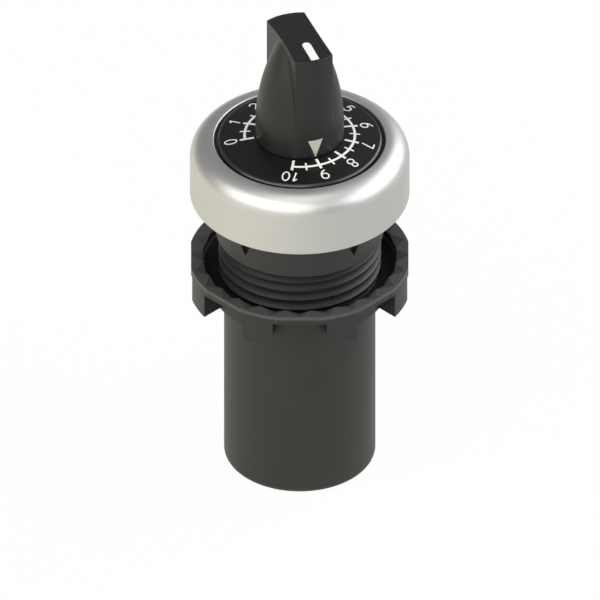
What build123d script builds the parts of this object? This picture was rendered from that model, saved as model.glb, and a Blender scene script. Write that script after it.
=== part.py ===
from build123d import *
import os
from math import atan2, cos, degrees, radians, sin, sqrt, tan

# Panel potentiometer with a 0 to 10 scale, for a standard 22 mm control hole. Millimetres.
# The origin is on the barrel's axis, in the plane of the panel's front face.
# +Z points out of the panel to the knob, and +Y points to the middle of the scale, its figure 5.
# Heights below are measured from the panel face unless a note says otherwise.

# Clearances
fit_gap = 0.05  # pieces that are pressed, glued or screwed together
turn_gap = 0.10  # knob hub in its bush
thread_gap = 0.07  # nut thread over barrel thread, at the crests
shaft_gap = 0.04  # shaft in its bushing

# Barrel, the part that passes through the panel. Its radius is the sum of the steps from the shaft
# outwards, and these are chosen to give 11.13, which fills a 22.3 mm hole.
thread_step = 0.35  # collar over the crest of the 1.5 mm pitch thread
tube_step = 0.75  # thread's crest over the tube
spigot_wall = 0.68
collar_len = 6.0  # smooth length under the panel face
thread_len = 9.8
thread_pitch = 1.5
thread_depth = 0.83
thread_flat = 0.22  # width of the flat at a groove's floor
thread_flank = 30.0  # degrees from square to the axis
behind_panel = 42.0
spigot_len = 4.0
notch_w = 1.8  # keying notches in the collar
notch_len = 4.7
notch_depth = 0.6
notch_point = 60.0  # angle of the notch's pointed end, degrees
notch_middle = -45.0  # degrees from +X; one notch to each side of it
notch_spread = 40.5

# Dial and scale
dial_edge_t = 0.8
dome_rise = 1.1
dial_seat_z = 7.75
dial_edge_round = 0.25
scale_sweep = 285.0  # degrees from 0 to 10, symmetrical about +Y
pointer_angle = -24.0  # degrees from +X; the knob points at the scale's 9

# Bezel ring
dial_gap = 0.29
dial_bore_gap = 0.3  # knob hub in the dial's and the washer's bore
bezel_land = 0.10
bezel_round = 3.1
bezel_proud = 0.11  # crest above the dial's edge
bezel_wall = 1.1
bezel_foot_round = 0.25
head_gap = 0.15

# Flange and gasket of the front body
gasket_t = 1.3
gasket_neck = 0.23  # how much the neck is smaller than the barrel
gasket_play = 0.10
flange_reach = 2.5  # outside the neck
flange_t = 2.0
throat_z = 6.0  # height where the bezel closes over the front body

# Guide bush, seal and seal washer
bush_wall = 1.0
bush_step = 1.0
bush_seat_z = 3.0
seal_section_r = 0.75
washer_t = 0.6
washer_step = 1.0

# Knob
knob_r = 5.87
knob_h = 15.8
knob_skirt_h = 2.7  # straight wall before the flanks curve in
flank_r = 30.0  # curve of the turned flank, seen from the side
flank_lean = 2.0  # degrees by which the flank leans in where it starts
blade_half = 2.69
blade_waist = 0.16
crown_r = 32.0
edge_round = 0.2
hub_wall = 1.55
hub_below_bush = 1.5
skirt_wall = 0.47
skirt_recess = 0.45
rim_gap = 0.15
line_w = 1.13
line_len = 4.18
line_depth = 0.6
mark_w = 2.04
mark_h = 2.7
mark_depth = 0.3

# Shaft, spring clip and retaining ring
shaft_r = 3.0
shaft_len = 25.0  # from the potentiometer's mounting face
shaft_flat = 1.5  # distance of the flat from the axis
flat_len = 10.0
shaft_edge = 0.5
shaft_collar = 0.3
tang_side = 4.0
clip_t = 0.4
clip_w = 3.2
clip_len = 8.0
ring_t = 0.5
ring_outer_r = 4.0
groove_depth = 0.5
ring_mouth = 60.0  # degrees

# Potentiometer
pot_face_depth = 8.0  # mounting face below the panel face
web_t = 2.0
pot_rim = 2.5  # outside the middle of the track
pot_clearance = 0.2
plate_t = 0.8
wafer_t = 0.9
can_h = 5.9
can_wall = 0.4
can_flat_step = 0.1  # can's flat outside the middle of the track
lug_step = 1.0  # wafer's flat outside the can's
tab_count = 3  # tabs of the can that are bent over the front plate, on its upper half
tab_w = 2.4
bushing_wall = 0.46
bushing_len = 5.5
nut_across = 10.0
nut_t = 2.0
lock_t = 0.5
lock_r = 5.6
lock_teeth = 8
key_inset = 1.3
key_w = 1.4
key_len = 1.3
track_t = 0.1
track_step = 1.35  # middle of the track outside the collector's
track_w = 1.4
collector_step = 0.65  # middle of the collector outside the wafer's bore
collector_w = 0.7
track_spare = 5.0  # degrees of track past each end of travel
rotor_t = 2.2
rotor_rim = 0.85  # outside the collector's middle
rotor_depth = 1.5  # from the wafer to the rotor's face
stop_half = 12.0  # half the stop arm's angle
stop_gap = 0.03
wiper_t = 0.25
wiper_w = 1.2
button_r = 0.45
button_gap = 0.03

# Lugs and leads
lug_pitch = 3.6
lug_w = 1.0
lug_t = 0.4
lug_len = 8.4
tail_w = 0.8
tail_gap = 0.10  # each side of a tail where it leaves the can
lead_r = 0.6
lead_bend = 1.6

# Terminal base
base_t = 4.8
mouth_depth = 7.8  # rear end of the tube to the terminal base
ledge_w = 0.93  # ledge under the terminal base
rib_t = 0.7
rib_h = 3.2
pad_gap = 1.2  # between two terminals
pad_inset = 0.25  # outer terminals' corners inside the tube's mouth
pad_len = 5.2
pad_t = 0.8
leg_w = 1.6
leg_proud = 1.0
saddle_side = 3.8
saddle_t = 0.6
screw_r = 1.25
screw_head_r = 1.9
screw_head_h = 1.4
screw_len = 5.0
screw_slot_w = 0.6
screw_slot_depth = 0.7

# Housing tube
tube_wall = 1.2
tube_edge = 1.0

# Mounting nut
nut_top_depth = 10.2
nut_h = 4.8
nut_reach = 3.85  # outside the nut's bore
flat_cut = 0.3  # depth of the eight flats
claw_count = 8
slot_w = 7.2
claw_wall = 1.05  # between the bore and the slots
flange_edge_t = 1.18
flange_root_t = 2.8
recess_w = 1.99  # outside the nut's bore
recess_edge_depth = 1.3
recess_depth = 1.85
tooth_count = 24
tooth_depth = 0.5
tooth_rise = 6.6  # angle of the steep flank, degrees
tooth_run = 8.4  # angle of the gentle flank, degrees

# Values worked out from the ones above
bushing_r = shaft_r + shaft_gap + bushing_wall
collar_r = shaft_r + shaft_collar
wafer_bore_r = collar_r + 2 * fit_gap
collector_r = wafer_bore_r + collector_step
rotor_r = collector_r + rotor_rim
track_r = collector_r + track_step
can_flat = track_r + can_flat_step  # distance of the flat from the axis
lug_flat = can_flat + lug_step
pot_r = track_r + pot_rim
key_r = pot_r - key_inset
pot_bore_r = pot_r + pot_clearance
spigot_r = pot_bore_r + spigot_wall
tube_bore_r = spigot_r + fit_gap
mouth_r = tube_bore_r - ledge_w
tube_r = tube_bore_r + tube_wall
thread_r = tube_r + tube_step
barrel_r = thread_r + thread_step
neck_r = barrel_r - gasket_neck
flange_r = neck_r + flange_reach
bezel_bore_r = flange_r + fit_gap
bezel_r = bezel_bore_r + bezel_wall
lip_r = bezel_r - bezel_round - bezel_land
dial_r = lip_r - dial_gap
dial_edge_z = dial_seat_z + dial_edge_t
bezel_top_z = dial_edge_z + bezel_proud
bezel_side_z = bezel_top_z - bezel_round
flange_top_z = gasket_t + flange_t
head_r = lip_r - head_gap
dome_r = (dial_r**2 + dome_rise**2) / (2 * dome_rise)
dome_centre_z = dial_edge_z + dome_rise - dome_r
tube_top_z = -(collar_len + thread_len)
tube_end_z = -behind_panel
pot_face_z = -pot_face_depth
web_top_z = pot_face_z + web_t
hub_r = shaft_r + fit_gap + hub_wall
hub_bore_r = hub_r + turn_gap
seal_r = hub_r + fit_gap + seal_section_r
seal_pocket_r = seal_r + seal_section_r + fit_gap
washer_r = seal_pocket_r + washer_step
cavity_r = washer_r + bush_wall
bush_r = cavity_r + bush_step
washer_seat_z = dial_seat_z - washer_t
seal_seat_z = washer_seat_z - 2 * (seal_section_r + fit_gap)
dial_bore_r = hub_r + dial_bore_gap
rim_z = dome_centre_z + sqrt(dome_r**2 - knob_r**2) + rim_gap
knob_top_z = rim_z + knob_h
skirt_top_z = rim_z + knob_skirt_h
line_floor_z = knob_top_z - crown_r + sqrt(crown_r**2 - knob_r**2) - line_depth
hub_end_z = bush_seat_z - hub_below_bush
shaft_top_z = pot_face_z + shaft_len
blade_end = sqrt(knob_r**2 - blade_half**2)
waist_half = blade_half - blade_waist
waist_r = (blade_end**2 + blade_waist**2) / (2 * blade_waist)
cutter_r = 1.5 * knob_r
cutter_half = waist_half + waist_r - sqrt(waist_r**2 - cutter_r**2)
cutter_z = knob_top_z + edge_round
flank_x = knob_r - flank_r * cos(radians(flank_lean))
flank_z = skirt_top_z - flank_r * sin(radians(flank_lean))
flank_end_r = flank_x + sqrt(flank_r**2 - (cutter_z - flank_z) ** 2)
dead_angle = 180 - scale_sweep / 2  # from the lower middle of the scale to either end of travel
bushing_top_z = pot_face_z + bushing_len
groove_z = bushing_top_z + fit_gap
thread_mouth = thread_flat / 2 + thread_depth * tan(radians(thread_flank))
ring_count = int((thread_len - thread_mouth) / thread_pitch)
wafer_z = pot_face_z - plate_t
track_z = wafer_z - wafer_t
rotor_z = track_z - rotor_depth
can_end_z = track_z - can_h
foot_z = track_z - track_t
pad_w = (sqrt((mouth_r - pad_inset) ** 2 - (pad_len / 2) ** 2) - pad_gap) / 1.5
terminal_pitch = pad_w + pad_gap
base_rear_z = tube_end_z + mouth_depth
base_front_z = base_rear_z + base_t
screw_seat_z = base_rear_z - pad_t - saddle_t
nut_top_z = -nut_top_depth
nut_end_z = nut_top_z - nut_h
nut_bore_r = thread_r + thread_gap
nut_hub_r = nut_bore_r + claw_wall
nut_r = nut_bore_r + nut_reach
nut_flat = nut_r - flat_cut  # distance of the flats from the axis
recess_r = nut_bore_r + recess_w

os.makedirs("parts", exist_ok=True)


# label a finished piece and write it to a file of its own
def write(piece, name):
    piece.part.label = name
    export_step(piece.part, f"parts/{name}.step")


# turn a piece drawn pointing along +X to the figure that the knob shows at rest
def turn_to_scale(piece):
    piece.part = piece.part.rotate(Axis.Z, pointer_angle)


# Front body: flange, gasket neck, collar, thread, spigot, and the web that holds the
# potentiometer
with BuildPart() as front_body:
    with BuildSketch(Plane.XZ):
        with BuildLine():
            Polyline(
                (bush_r, dial_seat_z),
                (head_r, dial_seat_z),
                (head_r, flange_top_z),
                (flange_r, flange_top_z),
                (flange_r, gasket_t),
                (neck_r, gasket_t),
                (neck_r, 0),
                (barrel_r, 0),
                (barrel_r, -collar_len),
                (thread_r, -collar_len),
                (thread_r, tube_top_z),
                (spigot_r, tube_top_z),
                (spigot_r, tube_top_z - spigot_len),
                (pot_bore_r, tube_top_z - spigot_len),
                (pot_bore_r, pot_face_z),
                (bushing_r + fit_gap, pot_face_z),
                (bushing_r + fit_gap, web_top_z),
                (cavity_r, web_top_z),
                (cavity_r, bush_seat_z),
                (bush_r, bush_seat_z),
                close=True,
            )
        make_face()
    revolve(axis=Axis.Z)
    # the thread's grooves, each a closed ring of the thread's section
    with BuildSketch(Plane.XZ):
        for ring in range(ring_count):
            with Locations((thread_r, -collar_len - thread_mouth - ring * thread_pitch)):
                Polygon(
                    (-thread_depth, thread_flat / 2),
                    (-thread_depth, -thread_flat / 2),
                    (0, -thread_mouth),
                    (thread_step / 2, -thread_mouth),
                    (thread_step / 2, thread_mouth),
                    (0, thread_mouth),
                    align=None,
                )
    revolve(axis=Axis.Z, mode=Mode.SUBTRACT)
    # keying notches, each with a pointed lower end
    notch_shoulder = notch_len - notch_w / 2 / tan(radians(notch_point / 2))
    for turn in (notch_middle - notch_spread, notch_middle + notch_spread):
        side = Plane.YZ.rotated((0, 0, turn))
        with BuildSketch(side.offset(barrel_r - notch_depth)):
            with BuildLine():
                Polyline(
                    (-notch_w / 2, 0),
                    (-notch_w / 2, -notch_shoulder),
                    (0, -notch_len),
                    (notch_w / 2, -notch_shoulder),
                    (notch_w / 2, 0),
                    close=True,
                )
            make_face()
        extrude(amount=2 * notch_depth, mode=Mode.SUBTRACT)
    # pocket for the locating key of the potentiometer's plate
    with BuildSketch(Plane.XY.offset(pot_face_z)):
        with Locations((0, key_r)):
            Rectangle(key_w + 2 * fit_gap, plate_t + 2 * fit_gap)
    extrude(amount=key_len + fit_gap, mode=Mode.SUBTRACT)
write(front_body, "front_body")

# Gasket under the flange, drawn as the tightened nut leaves it: level with the bezel's foot
with BuildPart() as panel_gasket:
    with BuildSketch():
        Circle(flange_r - gasket_play)
        Circle(neck_r + fit_gap, mode=Mode.SUBTRACT)
    extrude(amount=gasket_t)
write(panel_gasket, "panel_gasket")

# Bezel ring: straight wall, wide round shoulder, lip around the dial
with BuildPart() as bezel_ring:
    with BuildSketch(Plane.XZ) as bezel_section:
        with BuildLine():
            Polyline(
                (lip_r + bezel_land, bezel_top_z),
                (lip_r, bezel_top_z),
                (lip_r, throat_z),
                (bezel_bore_r - bezel_wall, throat_z - bezel_wall),
                (bezel_bore_r - bezel_wall, flange_top_z),
                (bezel_bore_r, flange_top_z),
                (bezel_bore_r, 0),
                (bezel_r, 0),
                (bezel_r, bezel_side_z),
            )
            JernArc((bezel_r, bezel_side_z), (0, 1), bezel_round, 90)
        make_face()
        foot = bezel_section.vertices().group_by(Axis.Y)[0]
        fillet(foot.sort_by(Axis.X)[-1], bezel_foot_round)
    revolve(axis=Axis.Z)
write(bezel_ring, "bezel_ring")

# Domed dial plate, which carries the printed scale
with BuildPart() as dial_plate:
    with BuildSketch(Plane.XZ) as dial_section:
        with BuildLine():
            bore_top = dome_centre_z + sqrt(dome_r**2 - dial_bore_r**2)
            Polyline(
                (dial_bore_r, bore_top),
                (dial_bore_r, dial_seat_z),
                (dial_r, dial_seat_z),
                (dial_r, dial_edge_z),
            )
            RadiusArc((dial_r, dial_edge_z), (dial_bore_r, bore_top), -dome_r)
        make_face()
        rim = dial_section.vertices().group_by(Axis.X)[-1]
        fillet(rim.sort_by(Axis.Y)[-1], dial_edge_round)
    revolve(axis=Axis.Z)
write(dial_plate, "dial_plate")

# Bush that guides the knob's hub, with pockets for the seal and its washer
with BuildPart() as guide_bush:
    with BuildSketch(Plane.XZ):
        with BuildLine():
            Polyline(
                (hub_bore_r, bush_seat_z),
                (bush_r - fit_gap, bush_seat_z),
                (bush_r - fit_gap, dial_seat_z),
                (washer_r, dial_seat_z),
                (washer_r, washer_seat_z),
                (seal_pocket_r, washer_seat_z),
                (seal_pocket_r, seal_seat_z),
                (hub_bore_r, seal_seat_z),
                close=True,
            )
        make_face()
    revolve(axis=Axis.Z)
write(guide_bush, "guide_bush")

with BuildPart() as shaft_seal:
    with BuildSketch(Plane.XZ):
        with Locations((seal_r, seal_seat_z + seal_section_r + fit_gap)):
            Circle(seal_section_r)
    revolve(axis=Axis.Z)
write(shaft_seal, "shaft_seal")

with BuildPart() as seal_washer:
    with BuildSketch(Plane.XY.offset(washer_seat_z)):
        Circle(washer_r - fit_gap)
        Circle(dial_bore_r, mode=Mode.SUBTRACT)
    extrude(amount=washer_t)
write(seal_washer, "seal_washer")

# Knob: a crowned cylinder with a scallop turned away on each side, which leaves a blade between
# two curved flanks. It is drawn pointing along +X and turned to the scale at the end.
with BuildPart() as scallops:
    with BuildSketch(Plane.XZ):
        with BuildLine():
            RadiusArc((knob_r, skirt_top_z), (flank_end_r, cutter_z), -flank_r)
            Polyline(
                (flank_end_r, cutter_z),
                (cutter_r, cutter_z),
                (cutter_r, skirt_top_z),
                (knob_r, skirt_top_z),
            )
        make_face()
    revolve(axis=Axis.Z)
    with BuildSketch(Plane.XY.offset(rim_z)):
        with BuildLine():
            ThreePointArc((-cutter_r, cutter_half), (0, waist_half), (cutter_r, cutter_half))
            Line((cutter_r, cutter_half), (cutter_r, -cutter_half))
            ThreePointArc((cutter_r, -cutter_half), (0, -waist_half), (-cutter_r, -cutter_half))
            Line((-cutter_r, -cutter_half), (-cutter_r, cutter_half))
        make_face()
    extrude(amount=2 * knob_h, mode=Mode.SUBTRACT)

# the white line in the knob's top, and the mark at the foot of its blade
with BuildPart() as line_cutter:
    with BuildSketch(Plane.XY.offset(line_floor_z)):
        with Locations((knob_r - line_len + line_w / 2, 0)):
            Circle(line_w / 2)
        with Locations((knob_r - line_len + line_w / 2, 0)):
            Rectangle(2 * line_len, line_w, align=(Align.MIN, Align.CENTER))
    extrude(amount=2 * line_depth)

with BuildPart() as mark_cutter:
    with BuildSketch(Plane.YZ.offset(knob_r - mark_depth)):
        with BuildLine():
            Polyline(
                (0, rim_z + fit_gap),
                (mark_w / 2, rim_z + fit_gap + mark_h),
                (-mark_w / 2, rim_z + fit_gap + mark_h),
                close=True,
            )
        make_face()
    extrude(amount=2 * mark_depth)

with BuildPart() as knob:
    with BuildSketch(Plane.XY.offset(rim_z)):
        Circle(knob_r)
    extrude(amount=knob_h + edge_round)
    with Locations((0, 0, knob_top_z - crown_r)):
        Cylinder(crown_r, 4 * knob_r, rotation=(90, 0, 0), mode=Mode.INTERSECT)
    add(scallops.part, mode=Mode.SUBTRACT)
    fillet(knob.faces().sort_by(Axis.Z)[-1].edges(), edge_round)
    knob_envelope = Part(knob.part.wrapped)
    # the skirt is hollow just above the dial, and the hub runs down through the dial to the shaft
    with BuildSketch(Plane.XY.offset(rim_z)):
        Circle(knob_r - skirt_wall)
    extrude(amount=skirt_recess, mode=Mode.SUBTRACT)
    with BuildSketch(Plane.XY.offset(hub_end_z)):
        Circle(hub_r)
    extrude(amount=rim_z + skirt_recess - hub_end_z)
    with BuildSketch(Plane.XY.offset(hub_end_z)):
        Circle(shaft_r + fit_gap)
    extrude(amount=shaft_top_z - flat_len - hub_end_z, mode=Mode.SUBTRACT)
    with BuildSketch(Plane.XY.offset(shaft_top_z - flat_len)):
        Circle(shaft_r + fit_gap)
        with Locations((0, shaft_flat + clip_t + 2 * fit_gap)):
            Rectangle(3 * shaft_r, 2 * shaft_r, align=(Align.CENTER, Align.MIN), mode=Mode.SUBTRACT)
    extrude(amount=flat_len + fit_gap, mode=Mode.SUBTRACT)
    add(line_cutter.part, mode=Mode.SUBTRACT)
    add(mark_cutter.part, mode=Mode.SUBTRACT)
turn_to_scale(knob)
write(knob, "knob")

with BuildPart() as knob_inlay_line:
    add(knob_envelope)
    add(line_cutter.part, mode=Mode.INTERSECT)
turn_to_scale(knob_inlay_line)
write(knob_inlay_line, "knob_inlay_line")

with BuildPart() as knob_inlay_mark:
    add(knob_envelope)
    add(mark_cutter.part, mode=Mode.INTERSECT)
turn_to_scale(knob_inlay_mark)
write(knob_inlay_mark, "knob_inlay_mark")

# Shaft: flat at the knob end, groove for the retaining ring, collar inside the potentiometer,
# and a square tang in the rotor
with BuildPart() as shaft:
    with BuildSketch(Plane.XY.offset(rotor_z)):
        Circle(shaft_r)
    extrude(amount=shaft_top_z - rotor_z)
    chamfer(shaft.edges().sort_by(Axis.Z)[-1], shaft_edge)
    with BuildSketch(Plane.XY.offset(shaft_top_z - flat_len)):
        with Locations((0, shaft_flat)):
            Rectangle(3 * shaft_r, 2 * shaft_r, align=(Align.CENTER, Align.MIN))
    extrude(amount=flat_len, mode=Mode.SUBTRACT)
    with BuildSketch(Plane.XY.offset(groove_z)):
        Circle(2 * shaft_r)
        Circle(shaft_r - groove_depth, mode=Mode.SUBTRACT)
    extrude(amount=ring_t + fit_gap, mode=Mode.SUBTRACT)
    with BuildSketch(Plane.XY.offset(track_z + fit_gap)):
        Circle(collar_r)
    extrude(amount=wafer_t - 2 * fit_gap)
    with BuildSketch(Plane.XY.offset(rotor_z - rotor_t)):
        Rectangle(tang_side, tang_side)
    extrude(amount=rotor_t)
turn_to_scale(shaft)
write(shaft, "shaft")

with BuildPart() as shaft_spring_clip:
    with BuildSketch(Plane.XY.offset(shaft_top_z - flat_len + fit_gap)):
        with Locations((0, shaft_flat + fit_gap)):
            Rectangle(clip_w, clip_t, align=(Align.CENTER, Align.MIN))
    extrude(amount=clip_len)
turn_to_scale(shaft_spring_clip)
write(shaft_spring_clip, "shaft_spring_clip")

with BuildPart() as shaft_retaining_ring:
    with BuildSketch(Plane.XY.offset(groove_z + fit_gap / 2)):
        Circle(ring_outer_r)
        Circle(shaft_r - groove_depth, mode=Mode.SUBTRACT)
        with BuildLine():
            mouth = 2 * ring_outer_r
            half = radians(ring_mouth / 2)
            Polyline(
                (0, 0),
                (mouth * cos(half), mouth * sin(half)),
                (mouth * cos(half), -mouth * sin(half)),
                close=True,
            )
        make_face(mode=Mode.SUBTRACT)
    extrude(amount=ring_t)
turn_to_scale(shaft_retaining_ring)
write(shaft_retaining_ring, "shaft_retaining_ring")

# Potentiometer, fixed part: front plate, bushing, nut and lock washer
with BuildPart() as pot_front_plate:
    with BuildSketch(Plane.XY.offset(wafer_z)):
        Circle(pot_r)
        Circle(bushing_r + fit_gap, mode=Mode.SUBTRACT)
        with PolarLocations(pot_r, tab_count, angular_range=180, endpoint=True):
            Rectangle(2 * (can_wall + fit_gap), tab_w + 2 * fit_gap, mode=Mode.SUBTRACT)
    extrude(amount=plate_t)
    with BuildSketch(Plane.XY.offset(pot_face_z)):
        with Locations((0, key_r)):
            Rectangle(key_w, plate_t)
    extrude(amount=key_len)
write(pot_front_plate, "pot_front_plate")

with BuildPart() as pot_bushing:
    with BuildSketch(Plane.XY.offset(wafer_z)):
        Circle(bushing_r)
        Circle(shaft_r + shaft_gap, mode=Mode.SUBTRACT)
    extrude(amount=bushing_top_z - wafer_z)
    chamfer(pot_bushing.edges().group_by(Axis.Z)[-1].sort_by(SortBy.RADIUS)[-1], bushing_wall / 2)
write(pot_bushing, "pot_bushing")

with BuildPart() as lock_washer:
    with BuildSketch(Plane.XY.offset(web_top_z)):
        Circle(lock_r)
        Circle(bushing_r + 2 * fit_gap, mode=Mode.SUBTRACT)
        with PolarLocations(lock_r, lock_teeth):
            Circle(lock_t, mode=Mode.SUBTRACT)
    extrude(amount=lock_t)
write(lock_washer, "lock_washer")

with BuildPart() as bushing_nut:
    with BuildSketch(Plane.XY.offset(web_top_z + lock_t)):
        RegularPolygon(nut_across / 2, 6, major_radius=False)
        Circle(bushing_r + fit_gap, mode=Mode.SUBTRACT)
    extrude(amount=nut_t)
write(bushing_nut, "bushing_nut")

# Wafer with the resistive track and the collector ring, each with a tail to its lug
lug_places = {"start": -lug_pitch, "wiper": 0, "end": lug_pitch}

with BuildPart() as track_wafer:
    with BuildSketch(Plane.XY.offset(track_z)):
        Circle(pot_r)
        Circle(wafer_bore_r, mode=Mode.SUBTRACT)
        with Locations((0, -lug_flat)):
            Rectangle(3 * pot_r, pot_r, align=(Align.CENTER, Align.MAX), mode=Mode.SUBTRACT)
        with PolarLocations(pot_r, tab_count, angular_range=180, endpoint=True):
            Rectangle(2 * (can_wall + fit_gap), tab_w + 2 * fit_gap, mode=Mode.SUBTRACT)
    extrude(amount=wafer_t)
write(track_wafer, "track_wafer")

with BuildPart() as resistive_track:
    with BuildSketch(Plane.XY.offset(foot_z)):
        Circle(track_r + track_w / 2)
        Circle(track_r - track_w / 2, mode=Mode.SUBTRACT)
        with BuildLine():
            dead_half = radians(dead_angle - track_spare)
            Polyline(
                (0, 0),
                (2 * pot_r * sin(dead_half), -2 * pot_r * cos(dead_half)),
                (-2 * pot_r * sin(dead_half), -2 * pot_r * cos(dead_half)),
                close=True,
            )
        make_face(mode=Mode.SUBTRACT)
        for place in (lug_places["start"], lug_places["end"]):
            with Locations((place, -lug_flat + fit_gap)):
                Rectangle(
                    tail_w,
                    lug_flat - fit_gap - track_r * cos(dead_half) + track_w / 2,
                    align=(Align.CENTER, Align.MIN),
                )
    extrude(amount=track_t)
write(resistive_track, "resistive_track")

with BuildPart() as collector_ring:
    with BuildSketch(Plane.XY.offset(foot_z)):
        Circle(collector_r + collector_w / 2)
        Circle(collector_r - collector_w / 2, mode=Mode.SUBTRACT)
        with Locations((0, -lug_flat + fit_gap)):
            Rectangle(
                tail_w, lug_flat - fit_gap - collector_r, align=(Align.CENTER, Align.MIN)
            )
    extrude(amount=track_t)
write(collector_ring, "collector_ring")

for name, place in lug_places.items():
    with BuildPart() as lug:
        with BuildSketch(Plane.XY.offset(foot_z - lug_t)):
            with Locations((place, -lug_flat)):
                Rectangle(lug_w, lug_flat - can_flat - fit_gap, align=(Align.CENTER, Align.MIN))
        extrude(amount=lug_t)
        with BuildSketch(Plane.XY.offset(foot_z - lug_len)):
            with Locations((place, -lug_flat)):
                Rectangle(lug_w, lug_t, align=(Align.CENTER, Align.MIN))
        extrude(amount=lug_len)
    write(lug, f"lug_{name}")

# Can that closes the potentiometer, with three tabs up through the wafer and the front plate
with BuildPart() as pot_can:
    with BuildSketch(Plane.XY.offset(can_end_z)):
        Circle(pot_r)
        with Locations((0, -can_flat)):
            Rectangle(3 * pot_r, pot_r, align=(Align.CENTER, Align.MAX), mode=Mode.SUBTRACT)
    extrude(amount=can_h)
    offset(amount=-can_wall, openings=pot_can.faces().sort_by(Axis.Z)[-1])
    with BuildSketch(Plane.XY.offset(track_z)):
        with PolarLocations(pot_r - can_wall / 2, tab_count, angular_range=180, endpoint=True):
            Rectangle(can_wall, tab_w)
        Circle(pot_r, mode=Mode.INTERSECT)
    extrude(amount=pot_face_z - track_z)
    with BuildSketch(Plane.XY.offset(track_z)):
        for place in lug_places.values():
            with Locations((place, -can_flat)):
                Rectangle(tail_w + 2 * tail_gap, 3 * can_wall)
    extrude(amount=-track_t - fit_gap, mode=Mode.SUBTRACT)
write(pot_can, "pot_can")

# Rotor with its stop arm, and the wiper that joins the collector to the track
stop_r = (can_flat - can_wall - stop_gap) / cos(radians(dead_angle - stop_half))

with BuildPart() as rotor:
    with BuildSketch(Plane.XY.offset(rotor_z - rotor_t)):
        with BuildLine():
            half = radians(stop_half)
            Polyline(
                (0, 0),
                (2 * stop_r * cos(half), 2 * stop_r * sin(half)),
                (2 * stop_r * cos(half), -2 * stop_r * sin(half)),
                close=True,
            )
        make_face()
        Circle(stop_r, mode=Mode.INTERSECT)
        Circle(rotor_r)
        Rectangle(tang_side + 2 * fit_gap, tang_side + 2 * fit_gap, mode=Mode.SUBTRACT)
    extrude(amount=rotor_t)
turn_to_scale(rotor)
write(rotor, "rotor")

with BuildPart() as wiper:
    with BuildSketch(Plane.XY.offset(rotor_z)):
        Circle(collector_r + collector_w)
        with Locations((collector_r, 0)):
            Rectangle(
                track_r - collector_r + button_r, wiper_w, align=(Align.MIN, Align.CENTER)
            )
        Circle(wafer_bore_r, mode=Mode.SUBTRACT)
    extrude(amount=wiper_t)
    with BuildSketch(Plane.XY.offset(rotor_z + wiper_t)):
        with Locations((collector_r, 0), (track_r, 0)):
            Circle(button_r)
    extrude(amount=foot_z - button_gap - rotor_z - wiper_t)
turn_to_scale(wiper)
write(wiper, "wiper")

# Housing tube, with a ledge that the terminal base rests on
with BuildPart() as housing_tube:
    with BuildSketch(Plane.XZ) as tube_section:
        with BuildLine():
            Polyline(
                (tube_bore_r, tube_top_z),
                (tube_bore_r, base_rear_z),
                (mouth_r, base_rear_z),
                (mouth_r, tube_end_z),
                (tube_r, tube_end_z),
                (tube_r, tube_top_z),
                close=True,
            )
        make_face()
        end = tube_section.vertices().group_by(Axis.Y)[0]
        fillet(end.sort_by(Axis.X)[-1], tube_edge)
    revolve(axis=Axis.Z)
write(housing_tube, "housing_tube")

# Terminal base with ribs between three screw terminals
terminal_places = {"start": -terminal_pitch, "wiper": 0, "end": terminal_pitch}
leg_y = -pad_len / 2 - leg_w / 2

with BuildPart() as terminal_base:
    with BuildSketch(Plane.XY.offset(base_rear_z)):
        Circle(tube_bore_r - fit_gap)
    extrude(amount=base_t)
    with BuildSketch(Plane.XY.offset(base_rear_z)):
        with Locations((-terminal_pitch / 2, 0), (terminal_pitch / 2, 0)):
            Rectangle(rib_t, 2 * mouth_r)
        Circle(mouth_r - fit_gap, mode=Mode.INTERSECT)
    extrude(amount=-rib_h)
    with BuildSketch(Plane.XY.offset(base_rear_z)):
        for place in terminal_places.values():
            with Locations((place, 0)):
                Circle(screw_r + fit_gap)
    extrude(amount=screw_len - pad_t - saddle_t + fit_gap, mode=Mode.SUBTRACT)
    with BuildSketch(Plane.XY.offset(base_rear_z)):
        for place in terminal_places.values():
            with Locations((place, leg_y)):
                Rectangle(leg_w + 2 * fit_gap, pad_t + 2 * fit_gap)
    extrude(amount=base_t, mode=Mode.SUBTRACT)
write(terminal_base, "terminal_base")

for name, place in terminal_places.items():
    with BuildPart() as terminal:
        with BuildSketch(Plane.XY.offset(base_rear_z)):
            with Locations((place, pad_len / 2)):
                Rectangle(pad_w, pad_len, align=(Align.CENTER, Align.MAX))
            with Locations((place, -pad_len / 2)):
                Rectangle(leg_w, leg_w / 2 + pad_t / 2, align=(Align.CENTER, Align.MAX))
            with Locations((place, 0)):
                Circle(screw_r + fit_gap, mode=Mode.SUBTRACT)
        extrude(amount=-pad_t)
        with BuildSketch(Plane.XY.offset(base_rear_z)):
            with Locations((place, leg_y)):
                Rectangle(leg_w, pad_t)
        extrude(amount=base_t + leg_proud)
    write(terminal, f"terminal_{name}")

with BuildPart() as saddle_washers:
    with BuildSketch(Plane.XY.offset(base_rear_z - pad_t)):
        for place in terminal_places.values():
            with Locations((place, 0)):
                Rectangle(saddle_side, saddle_side)
                Circle(screw_r + fit_gap, mode=Mode.SUBTRACT)
    extrude(amount=-saddle_t)
write(saddle_washers, "saddle_washers")

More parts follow.
